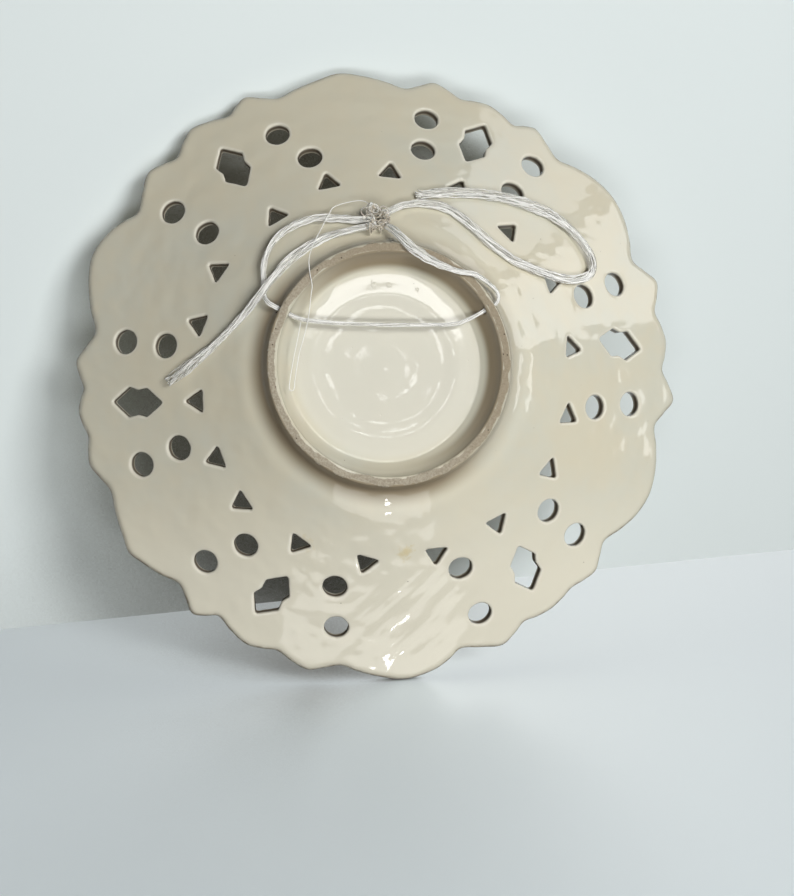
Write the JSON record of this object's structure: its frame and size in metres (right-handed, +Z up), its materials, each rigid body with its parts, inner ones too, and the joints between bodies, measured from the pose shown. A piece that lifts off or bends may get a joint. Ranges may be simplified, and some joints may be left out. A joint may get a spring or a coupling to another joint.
{
  "type": "decorative wall plate",
  "caption": "Round pierced wall plate with a scalloped rim, a deep dish and a foot ring on its back, and a slack loop of twine through the ring to hang it by.",
  "frame": {"origin": "highest point of the foot ring's bare rim, midway across the rim's width, on the wall plane", "axes": "+Z up as the plate hangs, -Y into the wall that its back faces, +X to the right seen from the wall"},
  "size_m": [0.3001, 0.0679, 0.3044],
  "materials": {
    "cream_glaze": "glossy cream tin glaze, bare on the foot ring's rim",
    "film_twine": "clear split film, glossy and streaked"
  },
  "bodies": {
    "root": {"plate": "cream_glaze", "hanging_cord": "film_twine", "cord_tail_left": "film_twine", "cord_tail_right": "film_twine", "cord_knot": "film_twine"}
  },
  "joints": []
}
